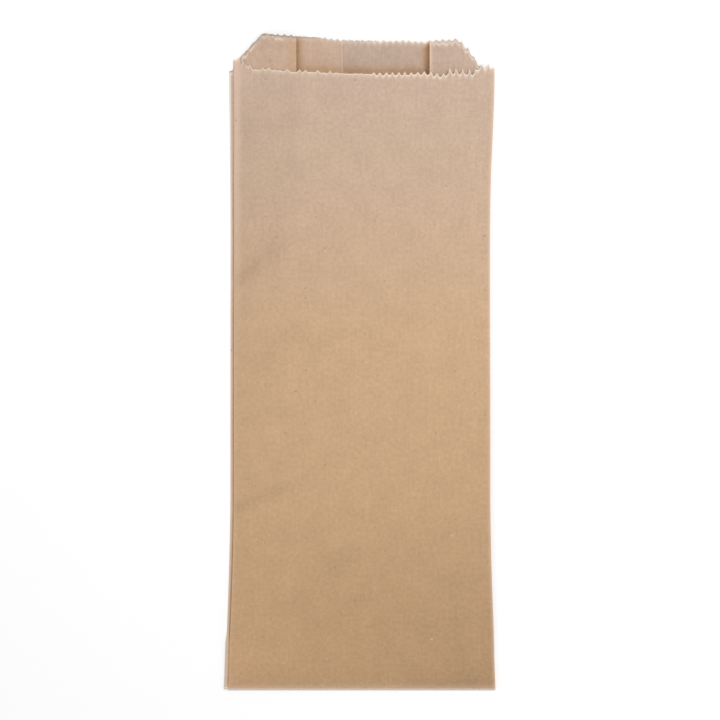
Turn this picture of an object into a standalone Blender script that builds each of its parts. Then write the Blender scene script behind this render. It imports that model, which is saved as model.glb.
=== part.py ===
"""Kraft paper baguette bag, empty, lying on its back with its mouth towards +Y.

One pinked sheet is folded into a tube with a gusset down each side, glued up the middle of
its back panel, and closed by turning its bottom end under the back. Metres, +Z up.
"""
import math

import bmesh
import bpy

# Paper
PAPER = 0.0001
PLY_GAP = 0.00015

# Bag pressed flat
BAG_LENGTH = 0.350
PANEL_WIDTH = 0.146
GUSSET_DEPTH = 0.0355
FRONT_STEP = 0.0021
SEAM_OVERLAP = 0.020
BACK_TURN = 0.0035

# Stepped and pinked cut
LIP_HEIGHT = 0.0165
LIP_CHAMFER = 0.0155
MOUTH_SKEW = 0.0045
CORNER_RISE = 0.004
CORNER_RUN = 0.008
TOOTH_PITCH = 0.0035
TOOTH_DEPTH = 0.0026

# How far the empty bag has sprung open, halfway up and at its mouth
FRONT_CROWN = 0.0089
MOUTH_CROWN = 0.0068
SIDE_HEIGHT = 0.0024
MOUTH_SIDE_HEIGHT = 0.0018
INNER_HEIGHT = 0.0026
MOUTH_INNER_HEIGHT = 0.0028
WAIST = 0.0033
MOUTH_WAIST = 0.0019
SWELL_RUN = 0.105
MOUTH_RUN = 0.100
CROWN_POWER = 2.4

# How the back panel comes down to the table past the turned bottom
TURN_CLEARANCE = 0.0008
DROP_RUN = 0.004
SETTLE_RUN = 0.008
ZONE_MARGIN = 0.002
ZONE_RUN = 0.006
SEAM_STEP_RUN = 0.005

# Glue
GLUE_MARGIN = 0.001

# Mesh fineness
FOLD_STEPS = 4
TURN_STEPS = 6
BODY_ROWS = 14
PANEL_TEETH_PER_CELL = 3
GUSSET_TEETH_PER_CELL = 5
END_MARGIN = 0.002
FINEST_CELL = 0.0005

# Kraft paper finish
KRAFT_COLOUR = (0.59, 0.41, 0.265, 1.0)
KRAFT_ROUGHNESS = 0.86

# Sizes that follow from the ones above
PLY = PAPER + PLY_GAP
FOLD_RADIUS = PLY / 2
HALF_WIDTH = PANEL_WIDTH / 2
FRONT_WIDTH = PANEL_WIDTH - FRONT_STEP
FRONT_LENGTH = BAG_LENGTH - LIP_HEIGHT
FLAP_LENGTH = BACK_TURN + LIP_HEIGHT
BLANK_LENGTH = BAG_LENGTH + BACK_TURN
TURN_END = BACK_TURN + TOOTH_DEPTH + TURN_CLEARANCE
FLAP_END = FLAP_LENGTH + TOOTH_DEPTH + TURN_CLEARANCE
FLAT_START = FLAP_END + SETTLE_RUN
LAST_ROW = FRONT_LENGTH - MOUTH_SKEW / 2 - TOOTH_DEPTH - END_MARGIN
ZONE_START = GUSSET_DEPTH + ZONE_MARGIN
ZONE_END = ZONE_START + ZONE_RUN
SEAM_STEP = SEAM_OVERLAP / 2 + PLY

# Plies from the bottom fold's axis outwards, by the middle of each one's thickness
BACK_REACH = 0.5 * PLY
LOWER_GUSSET_REACH = BACK_REACH + PLY
UPPER_GUSSET_REACH = LOWER_GUSSET_REACH + PLY
FRONT_REACH = UPPER_GUSSET_REACH + PLY
ON_TABLE = PAPER / 2
TURN_AXIS = ON_TABLE + FRONT_REACH


def taken_up(reach):
    """Length that a ply loses in one half of the bottom fold."""
    return 0.5 * math.pi * reach


def ease(value, start, end):
    """Smooth climb from 0 at start to 1 at end."""
    share = min(max((value - start) / (end - start), 0.0), 1.0)
    return share * share * (3.0 - 2.0 * share)


def mix(low, high, share):
    return low + (high - low) * share


def sprung(pressed, halfway, mouth, y):
    """A size that is pressed at the bottom, sprung halfway up, and eases towards the mouth."""
    free = mix(halfway, mouth, ease(y, FRONT_LENGTH - MOUTH_RUN, FRONT_LENGTH))
    return mix(pressed, free, ease(y, 0.0, SWELL_RUN))


def back_half_width(y):
    return HALF_WIDTH - sprung(0.0, WAIST, MOUTH_WAIST, y)


def front_half_width(y):
    """Half of the front panel, which stops short of the back's left-hand fold by its step."""
    return back_half_width(y) - FRONT_STEP / 2


def back_height(inset, y):
    """Height of the back panel's middle plane over the plies turned under it."""
    in_middle = ease(inset, ZONE_START, ZONE_END)
    dropped = in_middle * ease(y, TURN_END, TURN_END + DROP_RUN)
    settled = ease(y, FLAP_END, FLAT_START)
    over_flap = mix(TURN_AXIS + BACK_REACH, ON_TABLE + PLY, dropped)
    return mix(over_flap, ON_TABLE, settled)


def side_fold_height(y):
    pressed = TURN_AXIS + (UPPER_GUSSET_REACH + FRONT_REACH) / 2
    return sprung(pressed, SIDE_HEIGHT, MOUTH_SIDE_HEIGHT, y)


def inner_fold_height(y):
    pressed = TURN_AXIS + (LOWER_GUSSET_REACH + UPPER_GUSSET_REACH) / 2
    return sprung(pressed, INNER_HEIGHT, MOUTH_INNER_HEIGHT, y)


def front_height(across, y):
    """Height of the front panel, across from -1 to 1 between its side folds."""
    crown = sprung(0.0, FRONT_CROWN, MOUTH_CROWN, y)
    return side_fold_height(y) + FOLD_RADIUS + crown * (1.0 - abs(across) ** CROWN_POWER)


def inner_fold_inset(y):
    return back_half_width(y) - GUSSET_DEPTH


def back_point(side, share, inset, y):
    """A point of the back panel; the right-hand edge laps over the left-hand one."""
    half = back_half_width(y) - FOLD_RADIUS
    x = side * (half - share * (half + SEAM_OVERLAP / 2))
    z = back_height(inset, y)
    if side > 0:
        z += PLY * (1.0 - ease(x, SEAM_STEP, SEAM_STEP + SEAM_STEP_RUN))
    return x, z


def lower_gusset_point(side, share, inset, y):
    outer = side * (back_half_width(y) - FOLD_RADIUS)
    inner = side * (inner_fold_inset(y) + FOLD_RADIUS) + FRONT_STEP / 2
    outer_height = back_height(0.0, y) + PLY
    return mix(outer, inner, share), mix(outer_height, inner_fold_height(y) - FOLD_RADIUS, share)


def upper_gusset_point(side, share, inset, y):
    outer = side * (front_half_width(y) - FOLD_RADIUS) + FRONT_STEP / 2
    inner = side * (inner_fold_inset(y) + FOLD_RADIUS) + FRONT_STEP / 2
    outer_height = side_fold_height(y) - FOLD_RADIUS
    return mix(outer, inner, share), mix(outer_height, inner_fold_height(y) + FOLD_RADIUS, share)


def front_point(side, share, inset, y):
    half = front_half_width(y) - FOLD_RADIUS
    across = 2.0 * share - 1.0
    return across * half + FRONT_STEP / 2, front_height(across, y)


def front_cut(inset):
    """Tip line of the front's mouth edge, climbing at its corners."""
    from_fold = min(inset, FRONT_WIDTH - inset)
    return FRONT_LENGTH + CORNER_RISE * (1.0 - ease(from_fold, 0.0, CORNER_RUN))


def upper_gusset_cut(inset):
    return FRONT_LENGTH + mix(CORNER_RISE, LIP_HEIGHT, min(inset / LIP_CHAMFER, 1.0))


def back_cut(inset):
    return FRONT_LENGTH + LIP_HEIGHT * min(inset / LIP_CHAMFER, 1.0)


def off_square(x):
    """How far the knife's line across the mouth runs past a square cut, at a place across the bag."""
    return -MOUTH_SKEW * x / PANEL_WIDTH


class Station:
    """One place on the way round the tube, where the sheet may carry a mesh line."""

    def __init__(self, point, cut, is_line):
        self.point = point
        self.cut = cut
        self.is_line = is_line


def panel_stations(point_rule, cut_rule, side, breaks, teeth_per_cell, reverse=False):
    """Stations of one panel, a whole number of teeth between each two of its breaks."""
    width = breaks[-1]
    stations = []
    for start, end in zip(breaks, breaks[1:]):
        teeth = max(1, round((end - start) / TOOTH_PITCH))
        cells = math.ceil(teeth / teeth_per_cell)
        line_teeth = {round(cell * teeth / cells) for cell in range(cells)}
        for half_tooth in range(2 * teeth):
            inset = mix(start, end, half_tooth / (2 * teeth))
            is_tip = half_tooth % 2 == 1
            is_line = not is_tip and half_tooth // 2 in line_teeth
            stations.append(make_station(point_rule, cut_rule, side, inset, width, is_tip, is_line))
    stations.append(make_station(point_rule, cut_rule, side, width, width, False, True))
    return stations[::-1] if reverse else stations


def make_station(point_rule, cut_rule, side, inset, width, is_tip, is_line):
    cut = cut_rule(inset) - (0.0 if is_tip else TOOTH_DEPTH)
    return Station(lambda y: point_rule(side, inset / width, inset, y), cut, is_line)


def fold_stations(centre_rule, start_angle, end_angle, cut_before, cut_after):
    """Stations round one fold, between the ends of the two panels that it joins."""
    stations = []
    for step in range(1, FOLD_STEPS):
        share = step / FOLD_STEPS
        angle = math.radians(mix(start_angle, end_angle, share))
        stations.append(fold_station(centre_rule, angle, mix(cut_before, cut_after, share)))
    return stations


def fold_station(centre_rule, angle, cut):
    def point(y):
        x, z = centre_rule(y)
        return x + FOLD_RADIUS * math.cos(angle), z + FOLD_RADIUS * math.sin(angle)
    return Station(point, cut, True)


def back_fold_centre(side):
    return lambda y: (side * (back_half_width(y) - FOLD_RADIUS), back_height(0.0, y) + FOLD_RADIUS)


def inner_fold_centre(side):
    return lambda y: (side * (inner_fold_inset(y) + FOLD_RADIUS) + FRONT_STEP / 2, inner_fold_height(y))


def side_fold_centre(side):
    return lambda y: (side * (front_half_width(y) - FOLD_RADIUS) + FRONT_STEP / 2, side_fold_height(y))


def spaced(values):
    """The values in order, without any that is hard up against the one before it."""
    kept = []
    for value in sorted(values):
        if not kept or value - kept[-1] > FINEST_CELL:
            kept.append(value)
    return kept


def tube_stations():
    """All stations, from the seam's under edge by the left side and the front to its top edge."""
    back_end = HALF_WIDTH + SEAM_OVERLAP / 2
    step_top = HALF_WIDTH - SEAM_STEP
    left_breaks = spaced([0.0, ZONE_START, ZONE_END, back_end])
    right_breaks = spaced([0.0, ZONE_START, ZONE_END, step_top - SEAM_STEP_RUN, step_top, back_end])
    gusset_breaks = [0.0, GUSSET_DEPTH]
    front_breaks = [0.0, FRONT_WIDTH]

    def back(side, breaks, reverse):
        return panel_stations(back_point, back_cut, side, breaks, PANEL_TEETH_PER_CELL, reverse)

    def lower(side, reverse):
        return panel_stations(lower_gusset_point, back_cut, side, gusset_breaks,
                              GUSSET_TEETH_PER_CELL, reverse)

    def upper(side, reverse):
        return panel_stations(upper_gusset_point, upper_gusset_cut, side, gusset_breaks,
                              GUSSET_TEETH_PER_CELL, reverse)

    front = panel_stations(front_point, front_cut, 1, front_breaks, PANEL_TEETH_PER_CELL)
    left = [back(-1, left_breaks, True), lower(-1, False), upper(-1, True)]
    right = [upper(1, False), lower(1, True), back(1, right_breaks, False)]
    panels = left + [front] + right
    folds = [
        (back_fold_centre(-1), 270, 90),
        (inner_fold_centre(-1), -90, 90),
        (side_fold_centre(-1), 270, 90),
        (side_fold_centre(1), 90, -90),
        (inner_fold_centre(1), 90, 270),
        (back_fold_centre(1), 90, -90),
    ]
    stations = list(panels[0])
    for (centre_rule, start_angle, end_angle), panel in zip(folds, panels[1:]):
        cut_before = stations[-1].cut
        stations += fold_stations(centre_rule, start_angle, end_angle, cut_before, panel[0].cut)
        stations += panel
    return stations


def offset_points(points, distance):
    """The section moved sideways by a distance, towards the outside of the tube."""
    normals = []
    for (x0, z0), (x1, z1) in zip(points, points[1:]):
        length = math.hypot(x1 - x0, z1 - z0)
        normals.append(((z0 - z1) / length, (x1 - x0) / length))
    moved = []
    for index, (x, z) in enumerate(points):
        before = normals[max(index - 1, 0)]
        after = normals[min(index, len(normals) - 1)]
        scale = distance / (1.0 + before[0] * after[0] + before[1] * after[1])
        moved.append((x + (before[0] + after[0]) * scale, z + (before[1] + after[1]) * scale))
    return moved


def turned(x, z, angle):
    """A section point carried round the bottom fold, 0 on top to pi underneath."""
    reach = z - TURN_AXIS
    return x, -reach * math.sin(angle), TURN_AXIS + reach * math.cos(angle)


def sheet_side(stations, distance):
    """Coordinates of one side of the sheet: the flap's end, the rows, and the mouth's end."""
    indices = range(len(stations))
    pressed_middle = [station.point(0.0) for station in stations]
    pressed = offset_points(pressed_middle, distance)
    lines = [index for index in indices if stations[index].is_line]

    flap_end = {}
    mouth_end = {}
    for index in indices:
        in_fold = taken_up(pressed_middle[index][1] - TURN_AXIS)
        x, z = pressed[index]
        under = BLANK_LENGTH - stations[index].cut - in_fold
        flap_end[index] = (x, under, 2.0 * TURN_AXIS - z)
        y = stations[index].cut + off_square(x) - in_fold
        x, z = offset_points([station.point(y) for station in stations], distance)[index]
        mouth_end[index] = (x, y, z)

    rows = [flap_end]
    for step in range(TURN_STEPS + 1):
        angle = math.pi * (1.0 - step / TURN_STEPS)
        rows.append({index: turned(*pressed[index], angle) for index in lines})
    body = [mix(FLAT_START, LAST_ROW, row / BODY_ROWS) for row in range(BODY_ROWS + 1)]
    for y in spaced([TURN_END, TURN_END + DROP_RUN, FLAP_END] + body):
        section = offset_points([station.point(y) for station in stations], distance)
        rows.append({index: (section[index][0], y, section[index][1]) for index in lines})
    rows.append(mouth_end)
    return rows


def add_verts(bm, rows):
    return [{index: bm.verts.new(place) for index, place in row.items()} for row in rows]


def row_span(row, start, end):
    """The row's vertices from one mesh line to the next, teeth included."""
    return [row[index] for index in range(start, end + 1) if index in row]


def build_sheet(stations):
    """The whole paper sheet as one closed shell, both sides and its cut edges."""
    bm = bmesh.new()
    outside = add_verts(bm, sheet_side(stations, PAPER / 2))
    inside = add_verts(bm, sheet_side(stations, -PAPER / 2))
    lines = [index for index, station in enumerate(stations) if station.is_line]
    for start, end in zip(lines, lines[1:]):
        for side in (outside, inside):
            for near, far in zip(side, side[1:]):
                bm.faces.new(row_span(near, start, end) + row_span(far, start, end)[::-1])
    for row in (0, len(outside) - 1):
        last = len(stations) - 1
        for index in range(last):
            bm.faces.new([outside[row][index], outside[row][index + 1],
                          inside[row][index + 1], inside[row][index]])
    for line in (lines[0], lines[-1]):
        for row in range(len(outside) - 1):
            bm.faces.new([outside[row][line], outside[row + 1][line],
                          inside[row + 1][line], inside[row][line]])
    bmesh.ops.recalc_face_normals(bm, faces=bm.faces)
    mesh = bpy.data.meshes.new("paper_bag")
    bm.to_mesh(mesh)
    bm.free()
    return mesh


def add_object(name, mesh):
    created = bpy.data.objects.new(name, mesh)
    bpy.context.scene.collection.objects.link(created)
    return created


def add_glue(name, x_limits, y_limits):
    """A glue line that fills the gap between two plies, from middle plane to middle plane."""
    bm = bmesh.new()
    bmesh.ops.create_cube(bm, size=1.0)
    for vert in bm.verts:
        vert.co.x = x_limits[0] if vert.co.x < 0 else x_limits[1]
        vert.co.y = y_limits[0] if vert.co.y < 0 else y_limits[1]
        vert.co.z = ON_TABLE if vert.co.z < 0 else ON_TABLE + PLY
    mesh = bpy.data.meshes.new(name)
    bm.to_mesh(mesh)
    bm.free()
    glue = add_object(name, mesh)
    glue.hide_render = True
    glue.display_type = "WIRE"
    return glue


def middle_of_length(mesh):
    along = [vert.co.y for vert in mesh.vertices]
    return (min(along) + max(along)) / 2


def join_glue(bag, glue):
    union = bag.modifiers.new(glue.name, "BOOLEAN")
    union.operation = "UNION"
    union.solver = "EXACT"
    union.object = glue


def kraft_material():
    material = bpy.data.materials.new("brown_kraft_paper")
    material.use_nodes = True
    shader = material.node_tree.nodes["Principled BSDF"]
    shader.inputs["Base Color"].default_value = KRAFT_COLOUR
    shader.inputs["Roughness"].default_value = KRAFT_ROUGHNESS
    shader.inputs["Metallic"].default_value = 0.0
    return material


def clear_scene():
    for existing in list(bpy.data.objects):
        bpy.data.objects.remove(existing, do_unlink=True)


def build():
    clear_scene()
    bag = add_object("paper_bag", build_sheet(tube_stations()))
    bag.data.materials.append(kraft_material())
    seam_half = SEAM_OVERLAP / 2 - GLUE_MARGIN
    seam_glue = add_glue("seam_glue", (-seam_half, seam_half),
                         (FLAT_START + GLUE_MARGIN, LAST_ROW - GLUE_MARGIN))
    flap_half = HALF_WIDTH - ZONE_END - GLUE_MARGIN
    flap_glue = add_glue("flap_glue", (-flap_half, flap_half),
                         (TURN_END + DROP_RUN + GLUE_MARGIN / 2,
                          FLAP_LENGTH - taken_up(FRONT_REACH) - GLUE_MARGIN))
    join_glue(bag, seam_glue)
    join_glue(bag, flap_glue)
    for laid in (bag, seam_glue, flap_glue):
        laid.location.y = -middle_of_length(bag.data)


build()
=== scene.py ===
import math
from functools import partial

import bpy
import numpy as np
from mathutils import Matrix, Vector


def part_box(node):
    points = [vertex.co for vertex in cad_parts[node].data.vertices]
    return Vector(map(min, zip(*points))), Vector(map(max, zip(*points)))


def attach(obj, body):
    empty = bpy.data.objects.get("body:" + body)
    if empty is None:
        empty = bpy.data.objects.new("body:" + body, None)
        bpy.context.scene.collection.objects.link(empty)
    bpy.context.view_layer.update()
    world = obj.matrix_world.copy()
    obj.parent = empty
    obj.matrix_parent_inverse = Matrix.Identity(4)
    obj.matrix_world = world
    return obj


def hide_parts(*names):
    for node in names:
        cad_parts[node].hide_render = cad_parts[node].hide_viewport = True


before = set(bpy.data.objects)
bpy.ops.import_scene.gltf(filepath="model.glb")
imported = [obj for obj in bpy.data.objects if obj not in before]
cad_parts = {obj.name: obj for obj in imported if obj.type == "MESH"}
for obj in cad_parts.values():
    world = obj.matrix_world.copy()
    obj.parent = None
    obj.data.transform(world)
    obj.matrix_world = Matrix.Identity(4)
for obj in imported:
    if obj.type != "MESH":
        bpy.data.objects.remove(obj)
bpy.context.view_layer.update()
bag_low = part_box("paper_bag")[0]

# Paper and the bag's flat sizes, in metres, as the solid has them
PAPER = 0.0001
PLY_GAP = 0.00015
BAG_LENGTH = 0.35
PANEL_WIDTH = 0.146
GUSSET_DEPTH = 0.0355
FRONT_STEP = 0.0021
SEAM_OVERLAP = 0.02
BACK_TURN = 0.0035
LIP_HEIGHT = 0.0165
MOUTH_SKEW = 0.0045
TOOTH_DEPTH = 0.0026

# Teeth: each stretch's end and depth, and the least and most that a tip has kept
TOOTH_PITCH = 0.00345
TOOTH_SHIFT = TOOTH_PITCH / 4
SPIKE_POWER = 1.8
FRONT_TEETH = (
    (0.006, 0.0016, 0.0, 0.35),
    (0.039, 0.0021, 0.75, 1.0),
    (0.047, 0.0028, 0.62, 0.85),
    (1.0, 0.0036, 0.85, 1.0),
)
SHARP_LEFT_TEETH = (4, 5, 8, 10, 11, 13, 15)
LIP_TEETH = ((-0.019, 0.0009, 0.0, 0.25), (1.0, 0.0014, 0.6, 1.0))
GUSSET_TEETH = {-1: ((1.0, 0.0012, 0.3, 1.0),), 1: ((1.0, 0.0016, 0.6, 1.0),)}
CORNER_DEPTH = 0.0008
TORN_DEPTH = 0.0036
TORN_REACH = (0.004, 0.01)
TORN_LEAN = 0.3
TIP_SCATTER = (0.00022, 0.00022, 0.0001)

# Fine shape of the cut mouth: each rise with where it starts and where it is full
FRONT_CORNERS = {-1: ((0.0043, 0.011, 0.007),), 1: ((0.0023, 0.027, 0.024), (0.0033, 0.0106, 0.0082))}
CORNER_DROP = {-1: 0.05, 1: 0.4}
CORNER_DROP_RUN = 0.003
FRONT_RIGHT_RISE = (0.001, 0.012, 0.034)
FRONT_LEFT_RISE = (0.0008, 0.036, 0.022)
LIP_LEFT_RISE = (0.0011, -0.01, -0.028)
LIP_RIGHT_RISE = (0.0004, 0.004, 0.02)
CHAMFER_FOOT = {-1: 0.3352, 1: 0.3249}
CHAMFER_SLOPE = {-1: 1.07, 1: 1.45}
CHAMFER_TURN = {-1: 0.02, 1: 0.0131}
CHAMFER_END_SLOPE = 0.95
CHAMFER_LOWEST = {-1: (0.3316, 0.0), 1: (0.3335, 0.2)}
CHAMFER_WAVE = {-1: (0.00035, 0.0055, 0.03), 1: (0.00045, 0.0035, 0.16)}
STRIP_WIDTH = {-1: 0.002, 1: 0.0}
STRIP_CUT = 0.3343
GUSSET_LEAD = {-1: 0.0013, 1: 0.0014}
GUSSET_RISE = {-1: 0.0024, 1: 0.0026}
BACK_CHAMFER_LEAD = {-1: -0.0025, 1: -0.0006}

# How the sides part and draw in: by how much and over which span of half the bag
MOUTH_FLARE = (0.0013, 0.3, 1.0)
MOUTH_FLARE_RUN = 0.07
MOUTH_TUCK = (0.0002, 0.85, 1.0)
MOUTH_TUCK_RUN = (-0.001, 0.0035)
RIGHT_SPREAD = 0.0005
RIGHT_SPREAD_RUN = 0.04
LEFT_NARROWING = (0.0006, -0.1, -0.016)
LEFT_FOLD_DRIFT = (-0.0004, 0.0003)
LEFT_FOLD_DRIFT_RUN = (0.262, 0.325)
LEFT_FOLD_DRIFT_FOOT = 0.03
LEFT_FOLD_DRIFT_SPAN = (0.6, 1.0)

# How far the empty bag has sprung open
FRONT_CROWN = 0.0089
MOUTH_CROWN = 0.0068
SIDE_HEIGHT = {-1: 0.0014, 1: 0.0024}
MOUTH_SIDE_HEIGHT = {-1: 0.0009, 1: 0.0018}
INNER_HEIGHT = 0.0026
MOUTH_INNER_HEIGHT = {-1: 0.0047, 1: 0.0006}
INNER_FOLD_OUT = {-1: 0.0, 1: 0.00058}
WAIST = 0.0033
WAIST_POWER = 1.6
MOUTH_WAIST = 0.0019
SWELL_RUN = 0.105
MOUTH_RUN = 0.1
CROWN_POWER = 2.4
MOUTH_DIP = 0.22
MOUTH_DIP_RUN = 0.034
LEFT_DIP = (0.08, 0.1, 0.8)
RIDGE_HEIGHT = 0.00035
RIDGE_HALF_WIDTH = 0.0055

# How the back comes down to the table past the turned bottom
TURN_CLEARANCE = 0.0008
DROP_RUN = 0.004
SETTLE_RUN = 0.008
ZONE_MARGIN = 0.002
ZONE_RUN = 0.006
SEAM_STEP_RUN = 0.005

# Handling marks: ends in the photograph's pixels, depth and half width in metres
CREASES = (
    ((215, 301), (302, 226), 0.00066, 0.0052),
    ((224, 294), (268, 252), 0.0002, 0.0024),
    ((222, 514), (308, 479), 0.00078, 0.0028),
    ((286, 486), (342, 446), 0.00016, 0.004),
    ((262, 434), (302, 418), -0.0002, 0.0022),
    ((228, 366), (330, 318), 0.00018, 0.0062),
    ((290, 618), (368, 528), 0.00036, 0.0058),
)
CREASE_ENDS = ((-0.05, 0.1), (1.0, 0.55))
CREASE_SHADE_DEPTH = 0.0006

# Unevenness: wave lengths with the seed of their draw, then sizes
WANDER_WAVES = ((0.09, 0.13, 0.21), 3)
LEAN_WAVES = ((0.11, 0.17), 5)
COCKLE_WAVES = ((0.034, 0.047, 0.071, 0.098), 11)
CURL_WAVES = ((0.05, 0.08), 17)
FOLD_WANDER = 0.00022
FOLD_WANDER_RUN = 0.05
LEAN_SHARE = 0.6
COCKLE = (0.00022, 0.02, 0.08)
BORDER_SPAN = 0.25
BORDER_COCKLE = 0.35
BORDER_CREASE = 0.75
LIP_CURL = 0.0012
CURL_SWING = 0.5
TEETH_SEED = 29
SCATTER_SEED = 7

# Torn fibres along the cut edges, by the names of their inputs
FIBRES = {"Spacing": 0.0003, "Length": 0.00055, "Radius": 0.000018, "Bend": 0.35, "Spread": 0.75,
          "Root": 0.00012, "Lowest": 0.0, "Seed": 5}
FIBRE_ASTRAY = ((-1.0, -1.0, -1.0), (1.0, 1.0, 0.6))
FIBRE_SIZE = ((1.0, 1.0, 0.35), (1.0, 1.0, 1.5))
FIBRE_STEPS = 3

# Mesh fineness
COLUMNS_PER_TOOTH = 4
FOLD_STEPS = 6
TURN_STEPS = 9
FLAP_ROWS = 7
FIRST_ROWS = (0.3, 0.6)
SETTLE_ROWS = 22
BODY_ROW = 0.002
MOUTH_ROWS = 14
EDGE_ROWS = 4
END_MARGIN = 0.002
SHARP_ANGLE = math.radians(55)

# How far the painted warm shade of the inside reaches past the front's edge and beside the inner folds, on
# the left ply of the seam and over the left gusset
WARM_BY_EDGE = (0.62, 0.0042, 0.0)
WARM_BY_FOLD = {-1: (0.78, 0.0085, 0.0), 1: (1.0, 0.006, 0.0)}
WARM_BY_SEAM = 0.22
WARM_GUSSET = (0.22, 0.6, 0.007)

# Painted shade on the inside: how much darker it is right of the seam, under the front's edge and beside each
# fold, and how much lighter left of the seam
SEAM_SIDE_SHADE = 0.07
LEFT_SIDE_GAIN = 0.03
EDGE_SHADE = (0.04, 0.1, 0.0022)
FOLD_SHADE = {-1: (0.4, 0.0038, 0.0), 1: (0.45, 0.004, 0.0)}

# How much darker or paler the outside is, and where along the bag: painted shade across the lower part, in
# the creases, over the left gusset and beside the left fold
SHADED_SIDE = 0.08
SHADED_SIDE_RUN = (0.2, 0.0)
CREASE_SHADE = 0.07
BOTTOM_SHADE = 0.062
BOTTOM_RIGHT_SHADE = (0.045, 0.3, 1.0)
BOTTOM_SHADE_RUN = (0.02, 0.002)
GUSSET_SIDE_SHADE = (0.022, 0.23, 0.27)
GUSSET_SIDE_SHADE_EDGE = (-0.0008, 0.0008)
CORNER_LIGHT = (0.09, -0.012, -0.001)
CORNER_LIGHT_REACH = (0.016, 0.003)
STRIP_SHADE = 0.08
STRIP_SHADE_START = (-0.0002, 0.0)
STRIP_SHADE_END = (0.0011, 0.0)
STRIP_SHADE_RUN = (0.27, 0.2)

# Share of wear and painted highlight on each fold, left and right, and the worn and lit lines beside them
WEAR_AND_HIGHLIGHT = {"back": {-1: 0.4, 1: 0.4}, "inner": {-1: 0.0, 1: 1.9}, "side": {-1: 0.5, 1: 0.9}}
FOLD_WEAR_AND_HIGHLIGHT_RUN = (0.12, 0.26, 0.5, 0.75)
WORN_AND_LIT_LINE = 0.0014
WORN_AND_LIT_LINE_HALF_WIDTH = 0.0038
WORN_AND_LIT_LINE_SIDE = (-0.0365, -0.0511)
WORN_AND_LIT_LINE_RUN = (0.15, 0.32, 0.0, 0.54)
# Painted light on the back's left fold where it shows past the front's fold
LIT_STRIP_SPAN = (0.0005, 0.0012, 0.0, 0.9)
LIT_STRIP_RUN = (0.2, 0.3, 0.35, 1.0)
BOTTOM_WEAR = 0.68
UNDERSIDE_PACE = -3.0
# Painted shade in a dark line just past the seam's cut edge: its distance from the edge and its span
SEAM_EDGE_SHADE_LINE = 0.0011
SEAM_EDGE_SHADE_SPAN = (0.0008, 0.0, 0.0, 0.75)
# Cream of the seam's cut edge: torn fibres with a painted highlight
SLIT_CREAM_AND_HIGHLIGHT = 0.34

# Pale bands along edges and folds, of torn fibres and wear with painted highlight: bright width, faded width
# and strength of the faded part
PALE_BANDS = {
    "fold": (0.0006, 0.0022, 0.55),
    "bottom": (0.0013, 0.0042, 0.36),
    "slit": (0.00065, 0.0009, 0.5),
    "cut": (0.0007, 0.0032, 0.42),
    "pale line": (0.0003, 0.0015, 0.6),
}
PALE_BAND_GRAIN = 900.0
PALE_BAND_UNEVEN = (0.9, 0.55)
PALE_BAND_EDGE = (1.3, 0.6)
# Share of cream on the mouth's cut edges, torn fibres with a painted highlight, more on the right
CUT_CREAM_AND_HIGHLIGHT = (0.0, 0.01, 0.62, 1.0)

# The inside's pale line below its cut, from left to right, and a grey rim of painted shadow along the cut
PALE_LINE = (-0.01, 0.01, 0.0019, 0.0014)
PALE_LINE_SHARE = 0.62
PALE_RUNS = ((-0.034, -0.04), (0.036, 0.042))
PATCH_GRAIN = 420.0
PATCH_LIMITS = (0.38, 0.6)
RIM_SHADOW_EDGE = (0.0009, 0.0003)
RIM_SHADOW_RUNS = ((-0.018, -0.026, 0.2, 0.85), (0.037, 0.042, 0.0, 0.25))

# Kraft colour from the bottom fold to the lip, partly painted light that darkens and warms it towards the
# bottom, then what lies on it
KRAFT_AND_PAINTED_LIGHT_ALONG = (
    (0.0, (0.49, 0.306, 0.168, 1.0)),
    (0.1, (0.492, 0.31, 0.171, 1.0)),
    (0.3, (0.553, 0.357, 0.206, 1.0)),
    (0.55, (0.579, 0.382, 0.231, 1.0)),
    (0.78, (0.564, 0.405, 0.287, 1.0)),
    (1.0, (0.554, 0.41, 0.322, 1.0)),
)
# Warm tint that the painted warm shade multiplies into the inside's colour
WARM_SHADE_COLOUR = (1.0, 0.8, 0.54, 1.0)
CREAM_FIBRE = (0.88, 0.73, 0.61, 1.0)
RIM_SHADOW_COLOUR = (0.36, 0.29, 0.25, 1.0)
PALE_HAIR = (0.72, 0.6, 0.46, 1.0)
BARK_SPECK = (0.27, 0.17, 0.095, 1.0)
SEAM_EDGE_SHADE_COLOUR = (0.5, 0.345, 0.225, 1.0)
FOLD_WEAR_AND_HIGHLIGHT = (0.76, 0.55, 0.425, 1.0)
LIT_STRIP_COLOUR = (0.86, 0.73, 0.63, 1.0)
BOTTOM_WORN = (0.88, 0.77, 0.68, 1.0)
KRAFT_GLOSS = (0.86, 0.25)
TONE_SWING = 0.24
CLOUD_SHARE = 0.8
FLECK_SHARE = 1.65
STREAK_SHARE = 0.42
HAIR_SHARE = 0.5
SPECK_SHARE = 0.5
PULP_BUMP = 0.00006
LINE_BUMP = 0.00006
SEAM_LINE_BUMP = 0.8
LINE_RUN = (0.12, 0.26)

# Grain of the pulp: streaks drawn out, specks ragged and partly left out, hairs broken
STREAK_DRAWN = (1.0, 0.05, 1.0)
RAGGED_GRAIN = 1500.0
RAGGED_REACH = 0.001
SPECK_CHANCE = (0.87, 1.0)
SPECK_EDGE = (0.0001, -0.00012)
SPECK_STRENGTH = (0.75, 0.25)
HAIR_RIDGE = (0.011, 0.003)
HAIR_GRAIN = 420.0
HAIR_BROKEN = (0.6, 0.68)
HAIR_HEIGHT = 0.5
STREAK_HEIGHT = 0.35
FIBRE_GRAIN = 700.0

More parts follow.
